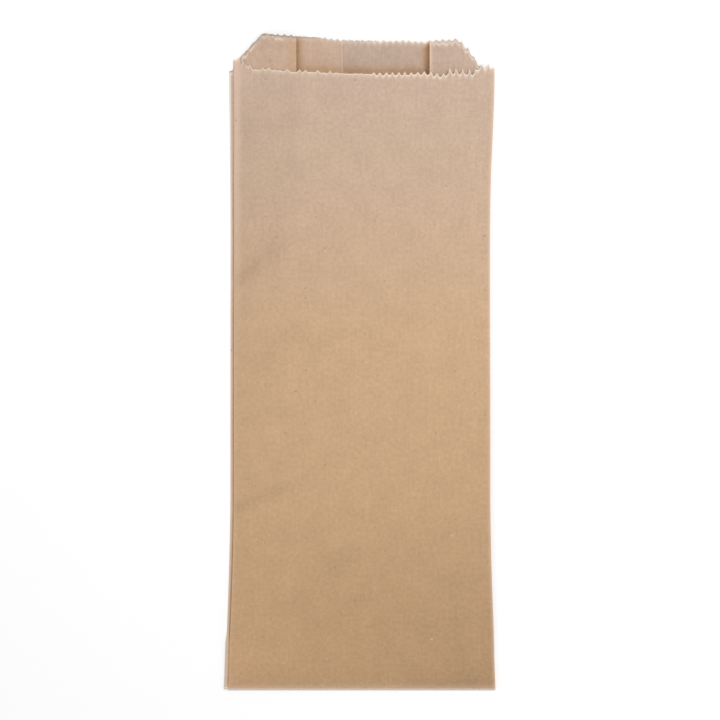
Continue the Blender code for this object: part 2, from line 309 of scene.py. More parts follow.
# The photograph's frame
IMAGE_SIDE = 720
METRES_PER_PIXEL = 0.0005385
BAG_CENTRE_PX = 359.9
BOTTOM_FOLD_PX = 688.3
CAMERA_PX = (360.0, 360.0)
CAMERA_HEIGHT = 2.2
MEASURED_HEIGHT = 0.003
SENSOR_MM = 36.0

# Table and light
TABLE_SIDE = 8.0
TABLE_COLOUR = (0.9, 0.9, 0.9, 1.0)
TABLE_GLOSS = (0.9, 0.1)
TABLE_GLOW = 0.12
WHITE = (1.0, 1.0, 1.0, 1.0)
WORLD_LIGHT = 0.6
SOFTBOX_PLACE = (0.42, 0.46, 1.45)
SOFTBOX_SIDE = 0.55
SOFTBOX_WATTS = 12.0

# Sizes that follow from the ones above
PLY = PAPER + PLY_GAP
FOLD_RADIUS = PLY / 2
FOLD_LENGTH = math.pi * FOLD_RADIUS
HALF_WIDTH = PANEL_WIDTH / 2
BACK_WIDTH = HALF_WIDTH + SEAM_OVERLAP / 2
FRONT_WIDTH = PANEL_WIDTH - FRONT_STEP
FRONT_MIDDLE = FRONT_STEP / 2
FRONT_LENGTH = BAG_LENGTH - LIP_HEIGHT
BLANK_LENGTH = BAG_LENGTH + BACK_TURN
TURN_END = BACK_TURN + TOOTH_DEPTH + TURN_CLEARANCE
FLAP_END = TURN_END + LIP_HEIGHT
FLAT_START = FLAP_END + SETTLE_RUN
LAST_ROW = FRONT_LENGTH - MOUTH_SKEW / 2 - TOOTH_DEPTH - END_MARGIN
ZONE_START = GUSSET_DEPTH + ZONE_MARGIN
SEAM_STEP = SEAM_OVERLAP / 2 + PLY
BACK_REACH, LOWER_GUSSET_REACH, UPPER_GUSSET_REACH, FRONT_REACH = (PLY * (count + 0.5) for count in range(4))
ON_TABLE = PAPER / 2
TURN_AXIS = ON_TABLE + FRONT_REACH
BOTTOM_FOLD_Y = bag_low.y + FRONT_REACH + PAPER / 2
FLOAT, VECTOR, GEOMETRY = "NodeSocketFloat", "NodeSocketVector", "NodeSocketGeometry"


def ease(value, start, end):
    """Smooth climb from 0 at start to 1 at end."""
    share = np.clip((value - start) / (end - start), 0.0, 1.0)
    return share * share * (3.0 - 2.0 * share)


def eased(value, amount, start, end):
    return amount * ease(value, start, end)


def mix(low, high, share):
    return low + (high - low) * share


def near_mouth(y, run=MOUTH_RUN):
    """Smooth climb to 1 at the front's mouth edge."""
    return ease(y, FRONT_LENGTH - run, FRONT_LENGTH)


def sprung(pressed, halfway, mouth, y):
    """A size that is pressed at the bottom, sprung halfway up, and eases towards the mouth."""
    return mix(pressed, mix(halfway, mouth, near_mouth(y)), ease(y, 0.0, SWELL_RUN))


def back_half_width(y):
    """Half the bag's width, which narrows soon above the pressed bottom."""
    pressed = (1.0 - np.clip(y / SWELL_RUN, 0.0, 1.0)) ** WAIST_POWER
    return HALF_WIDTH - mix(WAIST, MOUTH_WAIST, near_mouth(y)) * (1.0 - pressed)


def front_half_width(y):
    return back_half_width(y) - FRONT_STEP / 2


def inner_fold_out(side, y):
    """Distance of an inner fold from the middle, a little more by the mouth on the right."""
    return back_half_width(y) - GUSSET_DEPTH + INNER_FOLD_OUT[side] * near_mouth(y)


def back_height(inset, y):
    """Height of the back panel's middle plane over the plies turned under it."""
    in_middle = ease(inset, ZONE_START, ZONE_START + ZONE_RUN)
    dropped = in_middle * ease(y, TURN_END, TURN_END + DROP_RUN)
    over_flap = mix(TURN_AXIS + BACK_REACH, ON_TABLE + PLY, dropped)
    return mix(over_flap, ON_TABLE, ease(y, FLAP_END, FLAT_START))


def back_fold(side, y):
    """Middle of the bend between the back and a gusset: x and height."""
    return side * (back_half_width(y) - FOLD_RADIUS), back_height(0.0, y) + FOLD_RADIUS


def side_fold(side, y):
    """Middle of the bend between the front and a gusset."""
    pressed = TURN_AXIS + (UPPER_GUSSET_REACH + FRONT_REACH) / 2
    height = sprung(pressed, SIDE_HEIGHT[side], MOUTH_SIDE_HEIGHT[side], y)
    return side * (front_half_width(y) - FOLD_RADIUS) + FRONT_MIDDLE, height


def inner_fold(side, y):
    """Middle of the bend between the two plies of a gusset."""
    pressed = TURN_AXIS + (LOWER_GUSSET_REACH + UPPER_GUSSET_REACH) / 2
    height = sprung(pressed, INNER_HEIGHT, MOUTH_INNER_HEIGHT[side], y)
    return side * (inner_fold_out(side, y) + FOLD_RADIUS) + FRONT_MIDDLE, height


def front_height(across, y):
    """Height of the front panel, across from -1 to 1; its mouth droops, most on the left."""
    droop = MOUTH_DIP * near_mouth(y, MOUTH_DIP_RUN)
    left_droop = eased(-across, *LEFT_DIP) * near_mouth(y)
    crown = sprung(0.0, FRONT_CROWN, MOUTH_CROWN, y) * (1.0 - droop) * (1.0 - left_droop)
    between_folds = mix(side_fold(-1, y)[1], side_fold(1, y)[1], (across + 1.0) / 2)
    return between_folds + FOLD_RADIUS + crown * (1.0 - np.abs(across) ** CROWN_POWER)


def back_place(side, inset, y):
    half = back_half_width(y) - FOLD_RADIUS
    x = side * (half - inset / BACK_WIDTH * (half + SEAM_OVERLAP / 2))
    lapped = eased(x, PLY, SEAM_STEP + SEAM_STEP_RUN, SEAM_STEP) if side > 0 else 0.0
    return x, back_height(inset, y) + lapped


def gusset_place(outer_fold, lift, side, inset, y):
    """A gusset ply between its folds: over the outer one's middle and below the inner one's."""
    share = inset / GUSSET_DEPTH
    outer_x, outer_height = outer_fold(side, y)
    inner_x, inner_height = inner_fold(side, y)
    return mix(outer_x, inner_x, share), mix(outer_height + lift, inner_height - lift, share)


def front_place(side, inset, y):
    across = 2.0 * inset / FRONT_WIDTH - 1.0
    return across * (front_half_width(y) - FOLD_RADIUS) + FRONT_MIDDLE, front_height(across, y)


def off_square(x):
    """How far the knife's line across the mouth runs past a square cut."""
    return -MOUTH_SKEW * x / PANEL_WIDTH


def front_tips(side, inset, x):
    """Tip line of the front's mouth edge, which climbs at its two corners."""
    line = FRONT_LENGTH + off_square(x) + eased(x, *FRONT_RIGHT_RISE) + eased(inset, *FRONT_LEFT_RISE)
    for corner, from_fold in ((-1, inset), (1, FRONT_WIDTH - inset)):
        climb = sum(eased(from_fold, *rise) for rise in FRONT_CORNERS[corner])
        line = line + climb * mix(1.0 - CORNER_DROP[corner], 1.0, ease(from_fold, 0.0, CORNER_DROP_RUN))
    return line


def cut_corner(side, inset):
    """The slanted cut at a corner of the mouth, from the fold inwards, flatter at its end."""
    turn = CHAMFER_TURN[side]
    rise = CHAMFER_SLOPE[side] * np.minimum(inset, turn) + CHAMFER_END_SLOPE * np.maximum(inset - turn, 0.0)
    height, length, start = CHAMFER_WAVE[side]
    wave = height * np.sin(2.0 * math.pi * (inset / length + start))
    lowest, climb = CHAMFER_LOWEST[side]
    slant = np.maximum(CHAMFER_FOOT[side] + rise + wave, lowest + climb * inset)
    return np.where(inset < STRIP_WIDTH[side], STRIP_CUT, slant)


def lip_tips(side, inset, x):
    """Tip line of the back panel: its straight lip, cut off at the corner."""
    lip = BAG_LENGTH + off_square(x) + eased(x, *LIP_LEFT_RISE) + eased(x, *LIP_RIGHT_RISE)
    return np.minimum(lip, cut_corner(side, inset) + BACK_CHAMFER_LEAD[side])


def gusset_tips(side, inset, x, set_in=0.0):
    """Tip line of a gusset ply, a little past the back's lip; its outer fold may be set in."""
    towards_fold = 1.0 - inset / GUSSET_DEPTH
    rise = GUSSET_LEAD[side] + GUSSET_RISE[side] * towards_fold
    return np.minimum(BAG_LENGTH + off_square(x) + rise, cut_corner(side, inset + set_in * towards_fold))


def spikes(on_knife):
    """The knife's zigzag of narrow tips, 0 in a valley and 1 at a tip."""
    zigzag = 1.0 - np.abs(2.0 * np.mod(on_knife / TOOTH_PITCH, 1.0) - 1.0)
    return zigzag ** SPIKE_POWER


def teeth(stretches, on_knife, x, rng):
    """Depth of the teeth, and the share of it that each tip has kept, stretch by stretch."""
    number = np.maximum(np.floor(on_knife / TOOTH_PITCH), 0.0).astype(int)
    luck = rng.uniform(0.0, 1.0, number.max() + 1)[number]
    depth, kept = np.zeros(x.size), np.zeros(x.size)
    start = -np.inf
    for end, full_depth, least, most in stretches:
        here = (x > start) & (x <= end)
        depth[here] = full_depth
        kept[here] = mix(least, most, luck[here])
        start = end
    return depth, kept


def wear_front_teeth(inset, on_knife, depth, kept):
    """Tears the front's teeth deep beside the left corner, and leaves none right at the folds."""
    kept[np.isin(np.floor(on_knife / TOOTH_PITCH), SHARP_LEFT_TEETH)] = 1.0
    torn_from, torn_to = TORN_REACH
    torn = (inset > torn_from) & (inset < torn_to)
    for here, worn_depth in ((inset < torn_from, CORNER_DEPTH), (torn, TORN_DEPTH)):
        depth[here], kept[here] = worn_depth, 1.0
    depth *= ease(FRONT_WIDTH - inset, 0.0, TOOTH_PITCH)


def panel(place_rule, tip_rule, stretches, side, width, wear_and_highlight, rng, reverse=False, slit=False, front=False):
    """The strip of one panel, its mesh lines at each valley, and on the front at each half tooth."""
    column = TOOTH_PITCH / COLUMNS_PER_TOOTH
    inset = np.append(np.arange(0.0, width - column / 2, column), width)
    x_at_mouth = place_rule(side, inset, np.full(inset.size, FRONT_LENGTH))[0]
    on_knife = inset - TOOTH_SHIFT if front else inset + TOOTH_SHIFT * max(side, 0)
    depth, kept = teeth(stretches, on_knife, x_at_mouth, rng)
    if front:
        wear_front_teeth(inset, on_knife, depth, kept)
    is_line = np.arange(inset.size) % (COLUMNS_PER_TOOTH // (2 if front else 1)) == 0
    is_line[-1] = True
    cut = tip_rule(side, inset, x_at_mouth) - depth * (1.0 - kept * spikes(on_knife))
    if reverse:
        inset, cut, is_line = inset[::-1], cut[::-1], is_line[::-1]
    return {"place": partial(place_rule, side, inset), "cut": cut, "is_line": is_line,
            "lengths": np.abs(np.diff(inset, prepend=inset[0])),
            "from_fold": inset if slit else np.minimum(inset, width - inset),
            "from_slit": width - inset if slit else PANEL_WIDTH,
            "wear_and_highlight": mix(*wear_and_highlight, inset / width), "on_front": float(front)}


def fold(centre_rule, side, start_angle, end_angle, wear_and_highlight, cut_before, cut_after):
    """The strip round one fold, between the panels that it joins."""
    share = np.arange(1, FOLD_STEPS) / FOLD_STEPS
    angle = np.radians(mix(start_angle, end_angle, share))

    def place(y):
        x, height = centre_rule(side, y)
        return x + FOLD_RADIUS * np.cos(angle), height + FOLD_RADIUS * np.sin(angle)

    return {"place": place, "cut": mix(cut_before, cut_after, share), "lengths": FOLD_LENGTH / FOLD_STEPS,
            "is_line": True, "from_fold": 0.0, "from_slit": PANEL_WIDTH, "wear_and_highlight": wear_and_highlight, "on_front": 0.0}


def tube_strips():
    """All strips, from the seam's under edge by the left side and the front to its top edge."""
    rng = np.random.default_rng(TEETH_SEED)

    def ply(index, side):
        """One ply of a side, counted from the back panel on."""
        back_fold_share, inner_fold_share, side_fold_share = (WEAR_AND_HIGHLIGHT[name][side] for name in ("back", "inner", "side"))
        place_rule, tip_rule, wear_and_highlight = (
            (back_place, lip_tips, (back_fold_share, 0.0)),
            (partial(gusset_place, back_fold, FOLD_RADIUS), gusset_tips, (back_fold_share, inner_fold_share)),
            (partial(gusset_place, side_fold, -FOLD_RADIUS),
             partial(gusset_tips, set_in=FRONT_STEP if side < 0 else 0.0), (side_fold_share, inner_fold_share)),
        )[index]
        stretches, width = (GUSSET_TEETH[side], GUSSET_DEPTH) if index else (LIP_TEETH, BACK_WIDTH)
        reverse = (index % 2 == 0) == (side < 0)
        return panel(place_rule, tip_rule, stretches, side, width, wear_and_highlight, rng, reverse, slit=index == 0)

    front_fold_share = WEAR_AND_HIGHLIGHT["side"].values()
    front = panel(front_place, front_tips, FRONT_TEETH, 1, FRONT_WIDTH, front_fold_share, rng, front=True)
    panels = [ply(0, -1), ply(1, -1), ply(2, -1), front, ply(2, 1), ply(1, 1), ply(0, 1)]
    folds = [(back_fold, -1, 270, 90, "back"), (inner_fold, -1, -90, 90, "inner"),
             (side_fold, -1, 270, 90, "side"), (side_fold, 1, 90, -90, "side"),
             (inner_fold, 1, 90, 270, "inner"), (back_fold, 1, 90, -90, "back")]
    strips = [panels[0]]
    for (centre_rule, side, start, end, name), following in zip(folds, panels[1:]):
        following["lengths"][0] = FOLD_LENGTH / FOLD_STEPS
        before = strips[-1]["cut"][-1]
        bend = fold(centre_rule, side, start, end, WEAR_AND_HIGHLIGHT[name][side], before, following["cut"][0])
        strips += [bend, following]
    return strips


class Sheet:
    """The folded sheet's middle surface: a grid of rows along the bag and columns round it."""

    def __init__(self):
        self.strips = tube_strips()
        for name in ("cut", "is_line", "from_fold", "from_slit", "wear_and_highlight", "on_front", "lengths"):
            parts = [np.broadcast_to(strip[name], strip["cut"].size) for strip in self.strips]
            setattr(self, name, np.concatenate(parts))
        self.is_back = self.from_slit < PANEL_WIDTH
        self.columns = self.cut.size
        self.lay_rows()

    def section(self, y):
        """Places x and z of all columns at distances y from the bottom fold, one row each."""
        parts, start = [], 0
        for strip in self.strips:
            here = y[:, start:start + strip["cut"].size]
            parts.append(np.broadcast_arrays(*strip["place"](here), here)[:2])
            start += here.shape[1]
        return [np.concatenate(values, axis=1) for values in zip(*parts)]

    def lay_rows(self):
        """Places of all rows, from the flap's end round the bottom fold to the mouth."""
        pressed_x, pressed_z = (row[0] for row in self.section(np.zeros((1, self.columns))))
        reach = pressed_z - TURN_AXIS
        in_fold = 0.5 * math.pi * reach
        places, along = [], []

        def lay(x, y, z, distance):
            places.append(np.stack([x, y, z], axis=1))
            along.append(distance)

        for share in np.arange(FLAP_ROWS) / FLAP_ROWS:
            under = (BLANK_LENGTH - self.cut - in_fold) * (1.0 - share)
            narrowed = pressed_x * back_half_width(under) / HALF_WIDTH
            lay(narrowed, under, 2.0 * TURN_AXIS - pressed_z, -under - in_fold)

        for step in range(TURN_STEPS + 1):
            angle = math.pi * (1.0 - step / TURN_STEPS)
            lay(pressed_x, -reach * math.sin(angle), TURN_AXIS + reach * math.cos(angle),
                in_fold * (2.0 * step / TURN_STEPS - 1.0))

        count = math.ceil((LAST_ROW - FLAT_START) / BODY_ROW)
        body = [TURN_END * share for share in FIRST_ROWS]
        body += [*np.linspace(TURN_END, FLAT_START, SETTLE_ROWS),
                 *np.linspace(FLAT_START, LAST_ROW, count + 1)[1:]]
        rows = [np.full(self.columns, distance) for distance in body]
        for share in np.arange(1, MOUTH_ROWS + 1) / MOUTH_ROWS:
            rows.append(mix(LAST_ROW, self.cut - in_fold, share))
        y = np.array(rows)
        x, z = self.section(y)
        for row in zip(x, y, z):
            lay(*row, row[1] + in_fold)

        self.places = np.array(places)
        self.along = np.array(along)
        self.from_cut = np.minimum(self.cut - self.along, self.along + BLANK_LENGTH - self.cut)

    def has_vert(self):
        """Which grid points the mesh uses: every column near the mouth's cut, lines elsewhere."""
        used = np.repeat(self.is_line[None, :], len(self.places), axis=0)
        used[-1 - MOUTH_ROWS:] = True
        used[0] = True
        return used


def bag_place(pixel):
    """A pixel of the photograph as a place on the bag, x and distance from the bottom fold."""
    return np.array([pixel[0] - BAG_CENTRE_PX, BOTTOM_FOLD_PX - pixel[1]]) * METRES_PER_PIXEL


def crease_dent(x, y):
    """Depth of the soft handling creases in the front panel."""
    dent = np.zeros_like(x)
    for start_px, end_px, depth, half_width in CREASES:
        start, end = bag_place(start_px), bag_place(end_px)
        length = np.hypot(*(end - start))
        run_x, run_y = (end - start) / length
        from_x, from_y = x - start[0], y - start[1]
        along = (from_x * run_x + from_y * run_y) / length
        off = from_y * run_x - from_x * run_y
        fade = ease(along, *CREASE_ENDS[0]) * ease(along, *CREASE_ENDS[1])
        dent += depth * fade * np.exp(-(off / half_width) ** 2)
    return dent


def inner_fold_ridge(x, y):
    """The front's slight ridges over the two inner folds, which push it up near the mouth."""
    off = np.abs(x - FRONT_MIDDLE) - inner_fold_out(-1, y)
    return RIDGE_HEIGHT * near_mouth(y + MOUTH_DIP_RUN) * np.exp(-(off / RIDGE_HALF_WIDTH) ** 2)


def waves(x, y, sizes, seed):
    """Gentle unevenness about -1 to 1: a few crossing waves of the given lengths."""
    rng = np.random.default_rng(seed)
    total = np.zeros_like(x)
    for size in sizes:
        heading, phase = rng.uniform(0.0, math.pi), rng.uniform(0.0, 2.0 * math.pi)
        distance = x * math.cos(heading) + y * math.sin(heading)
        total += np.sin(2.0 * math.pi * distance / size + phase)
    return total / len(sizes)


def scatter_tips(sheet, places):
    """Leaves the teeth of the mouth uneven, and leans the torn ones at the left corner."""
    rng = np.random.default_rng(SCATTER_SEED)
    reach = MOUTH_ROWS / 2
    weight = np.clip((np.arange(len(places)) - (len(places) - 1 - reach)) / reach, 0.0, 1.0)[:, None]
    for axis, amount in enumerate(TIP_SCATTER):
        off_folds = rng.uniform(-amount, amount, sheet.columns) * (sheet.from_fold > TOOTH_PITCH / 2)
        places[:, :, axis] += weight * off_folds
    torn_from, torn_to = TORN_REACH
    torn = (sheet.from_fold > torn_from) & (sheet.from_fold < torn_to)
    torn = torn & (sheet.on_front > 0) & (places[-1, :, 0] < 0)
    places[:, :, 0] -= TORN_LEAN * torn * np.maximum(places[:, :, 1] - FRONT_LENGTH, 0.0)


def left_fold_drift(y):
    """How far the front's left fold wanders from the back's, outwards in the middle of the bag."""
    return mix(*LEFT_FOLD_DRIFT, ease(y, *LEFT_FOLD_DRIFT_RUN)) * ease(y, 0.0, LEFT_FOLD_DRIFT_FOOT)


def loosen(sheet, places):
    """Adds what handling does to a flat bag: wandering folds, cockle, creases and a curled lip."""
    x, y, z = (places[:, :, axis].copy() for axis in range(3))
    wander, lean = (waves(np.zeros_like(x), y, *kind) * ease(y, 0.0, FOLD_WANDER_RUN)
                    for kind in (WANDER_WAVES, LEAN_WAVES))
    places[:, :, 0] = x + FOLD_WANDER * (wander * x / HALF_WIDTH + LEAN_SHARE * lean)

    across = np.clip((x - FRONT_MIDDLE) / front_half_width(y), -1.0, 1.0)
    upper = np.clip(z / front_height(across, y), 0.0, 1.0)
    raised = ease(1.0 - np.abs(across), 0.0, BORDER_SPAN)
    swell = eased(y, *COCKLE) * waves(x, y, *COCKLE_WAVES) * mix(BORDER_COCKLE, 1.0, raised)
    dent = crease_dent(x, y) * mix(BORDER_CREASE, 1.0, raised)
    lift = upper * (swell - dent + inner_fold_ridge(x, y))
    flare = near_mouth(y, MOUTH_FLARE_RUN) * eased(across, *MOUTH_FLARE)
    tuck = ease(y - FRONT_LENGTH, *MOUTH_TUCK_RUN) * eased(-across, *MOUTH_TUCK)
    spread = ease(y, 0.0, RIGHT_SPREAD_RUN) * (1.0 - near_mouth(y)) * eased(across, RIGHT_SPREAD, 0.0, 1.0)
    narrowing = eased(y - FRONT_LENGTH, *LEFT_NARROWING) * ease(-across, 0.0, 1.0)
    drift = left_fold_drift(y) * upper * ease(-across, *LEFT_FOLD_DRIFT_SPAN)
    places[:, :, 0] += flare + tuck + spread + narrowing + drift
    past_front = np.clip((y - FRONT_LENGTH) / LIP_HEIGHT, 0.0, None)
    curl = LIP_CURL * past_front ** 2 * (1.0 + CURL_SWING * waves(x, y, *CURL_WAVES))
    places[:, :, 2] = np.maximum(z + lift + curl, ON_TABLE)


def unit(vectors):
    return vectors / np.maximum(np.linalg.norm(vectors, axis=-1, keepdims=True), 1e-12)


def tangents(places, axis):
    """Unit tangents along one direction of the grid, turned halfway at each point."""
    steps = unit(np.diff(places, axis=axis))
    first, last = (np.take(steps, [end], axis=axis) for end in (0, -1))
    return unit(np.concatenate([first, steps], axis=axis) + np.concatenate([steps, last], axis=axis))


def sheet_faces(outside, inside, lines):
    """Faces of the closed sheet: both sides, then the cut ends, then the two slit edges."""
    rows, columns = outside.shape
    faces = []
    for row in range(rows - 1):
        both_full = (outside[row:row + 2] >= 0).all()
        stops = range(columns) if both_full else lines
        for start, end in zip(stops, stops[1:]):
            for verts, turn in ((outside, 1), (inside, -1)):
                near, far = (span[span >= 0].tolist() for span in verts[row:row + 2, start:end + 1])
                faces.append((near + far[::-1]) if turn > 0 else (far + near[::-1]))
    for outer, inner in ((outside[0, ::-1], inside[0, ::-1]), (outside[-1], inside[-1]),
                         (outside[:, 0], inside[:, 0]), (outside[::-1, -1], inside[::-1, -1])):
        faces += np.stack([outer[:-1], outer[1:], inner[1:], inner[:-1]], axis=1).tolist()
    return faces


def add_object(name, data):
    added = bpy.data.objects.new(name, data)
    bpy.context.scene.collection.objects.link(added)
    return added


def set_values(mesh, name, values):
    """A number or a vector for each vertex of a mesh."""
    kind, key = ("FLOAT_VECTOR", "vector") if values.ndim > 1 else ("FLOAT", "value")
    mesh.attributes.new(name, kind, "POINT").data.foreach_set(key, values.astype(np.float32).ravel())


def past_front(sheet, x):
    """Distance of each place along the bag past the front's cut edge."""
    return sheet.along - FRONT_LENGTH - off_square(x)


def past_inner_fold(sheet, side, x):
    """Distance of each place outwards from an inner fold, negative between the two folds."""
    return side * (x - FRONT_MIDDLE) - inner_fold_out(side, sheet.along)


def on_right_half(sheet):
    """1 on the back panel's right half, which laps over the left one at the seam."""
    return (np.arange(sheet.columns) > sheet.columns / 2).astype(float)


def inner_warm_shade(sheet, x):
    """Painted warm shade on the inside, strongest by the front's edge and by the inner folds."""
    by_edge = eased(past_front(sheet, x), *WARM_BY_EDGE)
    deep = np.maximum(by_edge, WARM_BY_SEAM * (1.0 - on_right_half(sheet)))
    for side, by_fold in WARM_BY_FOLD.items():
        deep = np.maximum(deep, eased(-past_inner_fold(sheet, side, x), *by_fold))
    everywhere, by_fold, reach = WARM_GUSSET
    in_left_gusset = mix(by_fold, everywhere, ease(past_inner_fold(sheet, -1, x), 0.0, reach)) * (x < 0)
    return np.where(sheet.is_back, deep, in_left_gusset)


def inner_shade(sheet, x):
    """Painted shade on the inside of the back panel, darker than its outside: right of the seam, under the
    front's edge and beside each fold, lighter left of the seam.
    """
    right_of_seam = on_right_half(sheet)
    left_amount, right_amount, reach = EDGE_SHADE
    by_edge = mix(left_amount, right_amount, right_of_seam)
    shade = mix(-LEFT_SIDE_GAIN, SEAM_SIDE_SHADE, right_of_seam)
    shade = shade + eased(past_front(sheet, x), by_edge, reach, 0.0)
    for side, by_fold in FOLD_SHADE.items():
        shade = shade + eased(-past_inner_fold(sheet, side, x), *by_fold)
    return shade * sheet.is_back


def past_left_fold(x, y):
    """How far a place of the back's left fold shows past the front's left fold."""
    return FRONT_MIDDLE - front_half_width(y) + left_fold_drift(y) - x


def outer_shade(sheet, x, y):
    """How much darker the front is: painted shade in its creases and over the left gusset, darker towards the
    bottom fold and most at its right, and paler by the left mouth corner.
    """
    over_bottom = BOTTOM_SHADE + eased(x / HALF_WIDTH, *BOTTOM_RIGHT_SHADE)
    over_bottom = over_bottom * ease(sheet.along, *BOTTOM_SHADE_RUN)
    over_gusset = ease(past_inner_fold(sheet, -1, x), *GUSSET_SIDE_SHADE_EDGE)
    over_gusset = over_gusset * eased(sheet.along, *GUSSET_SIDE_SHADE)
    paler_corner = ease(sheet.from_fold, *CORNER_LIGHT_REACH) * eased(past_front(sheet, x), *CORNER_LIGHT)
    creased = CREASE_SHADE * crease_dent(x, y) / CREASE_SHADE_DEPTH
    return (creased + over_bottom + (over_gusset - paler_corner) * (x < 0)) * sheet.on_front


def build_bag(sheet, places):
    """The whole folded sheet as one closed shell with its own thickness."""
    normals = unit(np.cross(tangents(places, 1), tangents(places, 0)))
    used = sheet.has_vert()
    count = int(used.sum())
    numbers = np.full(used.shape, -1)
    numbers[used] = np.arange(count)
    inner_numbers = np.where(numbers >= 0, numbers + count, -1)
    verts = np.concatenate([(places + side * normals * PAPER / 2)[used] for side in (1, -1)])
    lines = [int(line) for line in np.flatnonzero(sheet.is_line)]
    mesh = bpy.data.meshes.new("folded_kraft_sheet")
    mesh.from_pydata(verts.tolist(), [], sheet_faces(numbers, inner_numbers, lines))

    x, y = places[:, :, 0], places[:, :, 1] - BOTTOM_FOLD_Y
    round_blank = np.broadcast_to(np.cumsum(sheet.lengths), used.shape)
    blank = np.stack([round_blank, sheet.along, np.zeros(used.shape)], axis=2)[used]
    set_values(mesh, "on_blank", np.concatenate([blank, blank + np.array([0.0, 0.0, PANEL_WIDTH])]))
    marks = {name: [getattr(sheet, name)] * 2 for name in ("from_cut", "from_fold", "from_slit", "wear_and_highlight")}
    marks["past_left_fold"] = [past_left_fold(x, y)] * 2
    marks["on_front"] = (sheet.on_front, 0.0)
    marks["painted_warm_shade"] = (0.0, inner_warm_shade(sheet, x))
    marks["shade"] = (outer_shade(sheet, x, y), inner_shade(sheet, x))
    for name, pair in marks.items():
        set_values(mesh, name, np.concatenate([np.broadcast_to(values, used.shape)[used] for values in pair]))
    mesh.validate()
    mesh.shade_smooth()
    mesh.set_sharp_from_angle(angle=SHARP_ANGLE)
    return add_object("folded_kraft_bag", mesh)


def new_node(tree, kind, **settings):
    node = tree.nodes.new(kind)
    for name, value in settings.items():
        setattr(node, name, value)
    return node


def linked(kind, inputs, **settings):
    """The outputs of a new node, in the tree of the sockets that it takes among its inputs."""
    tree = next(value.id_data for value in inputs.values() if isinstance(value, bpy.types.NodeSocket))
    node = new_node(tree, kind, **settings)
    for key, value in inputs.items():
        if isinstance(value, bpy.types.NodeSocket):
            tree.links.new(value, node.inputs[key])
        else:
            node.inputs[key].default_value = value
    return node.outputs


def maths(operation, *values, clamp=False):
    return linked("ShaderNodeMath", dict(enumerate(values)), operation=operation, use_clamp=clamp)[0]


def product(*values):
    total = values[0]
    for value in values[1:]:
        total = maths("MULTIPLY", total, value)
    return total


def vector_maths(operation, inputs):
    return linked("ShaderNodeVectorMath", inputs, operation=operation)[0]


def off_line(value, line):
    """Distance of a value from a line, to either side."""
    return maths("ABSOLUTE", maths("SUBTRACT", value, line))


def step(value, low, high, to_low=0.0, to_high=1.0):
    """Smooth step of a value between two limits, from one result to another."""
    limits = {"Value": value, "From Min": low, "From Max": high, "To Min": to_low, "To Max": to_high}
    return linked("ShaderNodeMapRange", limits, interpolation_type="SMOOTHSTEP")[0]


def noise(place, scale, detail, roughness=0.5):
    return linked("ShaderNodeTexNoise", {"Vector": place, "Scale": scale, "Detail": detail,
                                         "Roughness": roughness})


def attribute(tree, name, output="Fac"):
    return new_node(tree, "ShaderNodeAttribute", attribute_name=name).outputs[output]


def new_group(name, inputs, outputs, kind="ShaderNodeTree", output_kind=FLOAT):
    """An empty group, each input given by its kind or by its number, and its two end nodes."""
    group = bpy.data.node_groups.new(name, kind)
    for socket_name, value in inputs.items():
        socket_kind = {str: value, int: "NodeSocketInt", float: FLOAT}[type(value)]
        socket = group.interface.new_socket(socket_name, in_out="INPUT", socket_type=socket_kind)
        if socket_kind != value:
            socket.default_value = value
    for socket_name in outputs:
        group.interface.new_socket(socket_name, in_out="OUTPUT", socket_type=output_kind)
    return group, group.nodes.new("NodeGroupInput").outputs, group.nodes.new("NodeGroupOutput").inputs


def use_group(group, inputs):
    return linked("ShaderNodeGroup", inputs, node_tree=group)


